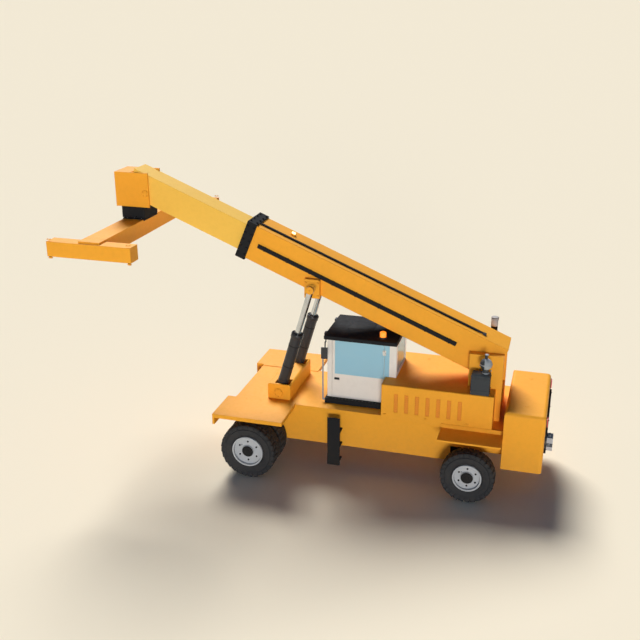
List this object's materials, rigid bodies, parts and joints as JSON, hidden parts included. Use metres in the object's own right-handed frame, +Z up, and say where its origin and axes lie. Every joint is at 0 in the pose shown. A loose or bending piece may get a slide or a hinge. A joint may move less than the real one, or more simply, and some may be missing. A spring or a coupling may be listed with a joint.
{
  "type": "reach stacker",
  "caption": "Container handler with a telescopic boom over a mid-mounted cab, twin front wheels, steered rear wheels and an extending twistlock spreader.",
  "frame": {"origin": "on the ground under the middle of the machine, midway between the tow hitch and the front of the spreader", "axes": "+X forward, the way the boom reaches; +Y to the operator's left; +Z up"},
  "size_m": [13.074, 5.932, 7.9354],
  "materials": {
    "body_paint": "gloss machine enamel, orange-yellow",
    "tip_paint": "gloss machine enamel, a little yellower",
    "frame_paint": "gloss machine enamel on thick plate",
    "cab_paint": "gloss off-white enamel",
    "dark_paint": "satin dark grey enamel",
    "rim_paint": "satin light grey enamel",
    "cast_steel": "rough cast steel",
    "chrome_rod": "polished hard chrome",
    "tyre_rubber": "worn black tread rubber",
    "window_glass": "clear, faint blue",
    "mirror_shell": "fine grain",
    "seat_cover": "woven, matt",
    "console_plastic": "fine grain",
    "exhaust_steel": "brushed",
    "beacon_lens": "translucent amber",
    "cylinder_paint": "gloss black enamel"
  },
  "bodies": {
    "chassis": {"chassis_frame": "frame_paint", "front_axle": "dark_paint", "rear_axle": "dark_paint", "fenders": "body_paint", "counterweight": "body_paint", "rear_grille": "dark_paint", "tow_hitch": "cast_steel", "engine_hood": "body_paint", "engine_block": "cast_steel", "boom_tower": "body_paint", "cylinder_saddle": "body_paint", "cab_floor": "dark_paint", "cab_shell": "cab_paint", "cab_roof": "dark_paint", "cab_glass": "window_glass", "operator_seat": "seat_cover", "steering_console": "console_plastic", "cab_mirrors": "mirror_shell", "handrails": "dark_paint", "beacon": "beacon_lens", "boarding_steps": "dark_paint", "air_cleaner": "dark_paint", "exhaust_stack": "exhaust_steel"},
    "cab_door": {"cab_door_left": "cab_paint", "door_glass_left": "window_glass"},
    "boom": {"outer_boom": "body_paint", "boom_collar": "dark_paint", "boom_brackets": "body_paint", "hose_rails": "dark_paint"},
    "boom_tip": {"inner_boom": "tip_paint"},
    "head": {"boom_head": "body_paint", "rotator_housing": "dark_paint"},
    "slew": {"slew_table": "dark_paint"},
    "spreader": {"spreader_beam": "body_paint"},
    "spreader_left": {"end_beam_left": "body_paint"},
    "spreader_right": {"end_beam_right": "body_paint"},
    "lift_barrel_left": {"lift_barrel_left": "cylinder_paint"},
    "lift_rod_left": {"lift_rod_left": "chrome_rod"},
    "front_wheel_left": {"front_tyre_left": "tyre_rubber", "front_rim_left": "rim_paint"},
    "steer_left": {"knuckle_left": "cast_steel"},
    "rear_wheel_left": {"rear_tyre_left": "tyre_rubber", "rear_rim_left": "rim_paint"},
    "lift_barrel_right": {"lift_barrel_right": "cylinder_paint"},
    "lift_rod_right": {"lift_rod_right": "chrome_rod"},
    "front_wheel_right": {"front_tyre_right": "tyre_rubber", "front_rim_right": "rim_paint"},
    "steer_right": {"knuckle_right": "cast_steel"},
    "rear_wheel_right": {"rear_tyre_right": "tyre_rubber", "rear_rim_right": "rim_paint"}
  },
  "joints": [
    {"name": "boom_luff", "type": "hinge", "parent": "chassis", "child": "boom", "pos_m": [-4.66202, 0, 3.3], "axis": [0, -1, 0], "range_deg": [-0.5, 26]},
    {"name": "boom_extend", "type": "slide", "parent": "boom", "child": "boom_tip", "axis": [0.9245, 0, 0.3811], "range_m": [-2.5, 3.2]},
    {"name": "head_level", "type": "hinge", "parent": "boom_tip", "child": "head", "pos_m": [4.94201, 0, 7.25856], "axis": [0, -1, 0], "range_deg": [-26, 0.5]},
    {"name": "spreader_turn", "type": "hinge", "parent": "head", "child": "slew", "pos_m": [5.34201, 0, 6.55856], "axis": [0, 0, 1], "range_deg": [-40, 40]},
    {"name": "side_shift", "type": "slide", "parent": "slew", "child": "spreader", "axis": [0, 1, 0], "range_m": [-0.8, 0.8]},
    {"name": "spreader_extend_left", "type": "slide", "parent": "spreader", "child": "spreader_left", "axis": [0, 1, 0], "range_m": [0, 3.05]},
    {"name": "spreader_extend_right", "type": "slide", "parent": "spreader", "child": "spreader_right", "axis": [0, -1, 0], "range_m": [0, 3.05]},
    {"name": "lift_swing_left", "type": "hinge", "parent": "chassis", "child": "lift_barrel_left", "pos_m": [0.96298, 0.75, 1.99], "axis": [0, -1, 0], "range_deg": [-0.5, 8]},
    {"name": "lift_stroke_left", "type": "slide", "parent": "lift_barrel_left", "child": "lift_rod_left", "axis": [-0.2807, 0, 0.9598], "range_m": [-0.05, 2.24]},
    {"name": "lift_swing_right", "type": "hinge", "parent": "chassis", "child": "lift_barrel_right", "pos_m": [0.96298, -0.75, 1.99], "axis": [0, -1, 0], "range_deg": [-0.5, 8]},
    {"name": "lift_stroke_right", "type": "slide", "parent": "lift_barrel_right", "child": "lift_rod_right", "axis": [-0.2807, 0, 0.9598], "range_m": [-0.05, 2.24]},
    {"name": "steer_left", "type": "hinge", "parent": "chassis", "child": "steer_left", "pos_m": [-4.48201, 1.706, 0.714], "axis": [0, 0, 1], "range_deg": [-45, 45]},
    {"name": "rear_spin_left", "type": "hinge", "parent": "steer_left", "child": "rear_wheel_left", "pos_m": [-4.48201, 1.806, 0.714], "axis": [0, 1, 0], "continuous": true},
    {"name": "front_spin_left", "type": "hinge", "parent": "chassis", "child": "front_wheel_left", "pos_m": [1.41799, 1.7875, 0.781], "axis": [0, 1, 0], "continuous": true},
    {"name": "steer_right", "type": "hinge", "parent": "chassis", "child": "steer_right", "pos_m": [-4.48201, -1.706, 0.714], "axis": [0, 0, 1], "range_deg": [-45, 45]},
    {"name": "rear_spin_right", "type": "hinge", "parent": "steer_right", "child": "rear_wheel_right", "pos_m": [-4.48201, -1.806, 0.714], "axis": [0, 1, 0], "continuous": true},
    {"name": "front_spin_right", "type": "hinge", "parent": "chassis", "child": "front_wheel_right", "pos_m": [1.41799, -1.7875, 0.781], "axis": [0, 1, 0], "continuous": true},
    {"name": "cab_door_swing", "type": "hinge", "parent": "chassis", "child": "cab_door", "pos_m": [-1.96501, 0.708, 2.8], "axis": [0, 0, 1], "range_deg": [0, 85]}
  ],
  "couplings": [
    {"joint": "head_level", "follows": "boom_luff", "ratio": -1},
    {"joint": "spreader_extend_right", "follows": "spreader_extend_left", "ratio": 1},
    {"joint": "steer_right", "follows": "steer_left", "ratio": 1},
    {"joint": "lift_swing_left", "follows": "boom_luff", "ratio": 0.25446},
    {"joint": "lift_stroke_left", "follows": "boom_luff", "m_per_rad": 4.91},
    {"joint": "lift_swing_right", "follows": "boom_luff", "ratio": 0.25446},
    {"joint": "lift_stroke_right", "follows": "boom_luff", "m_per_rad": 4.91}
  ]
}
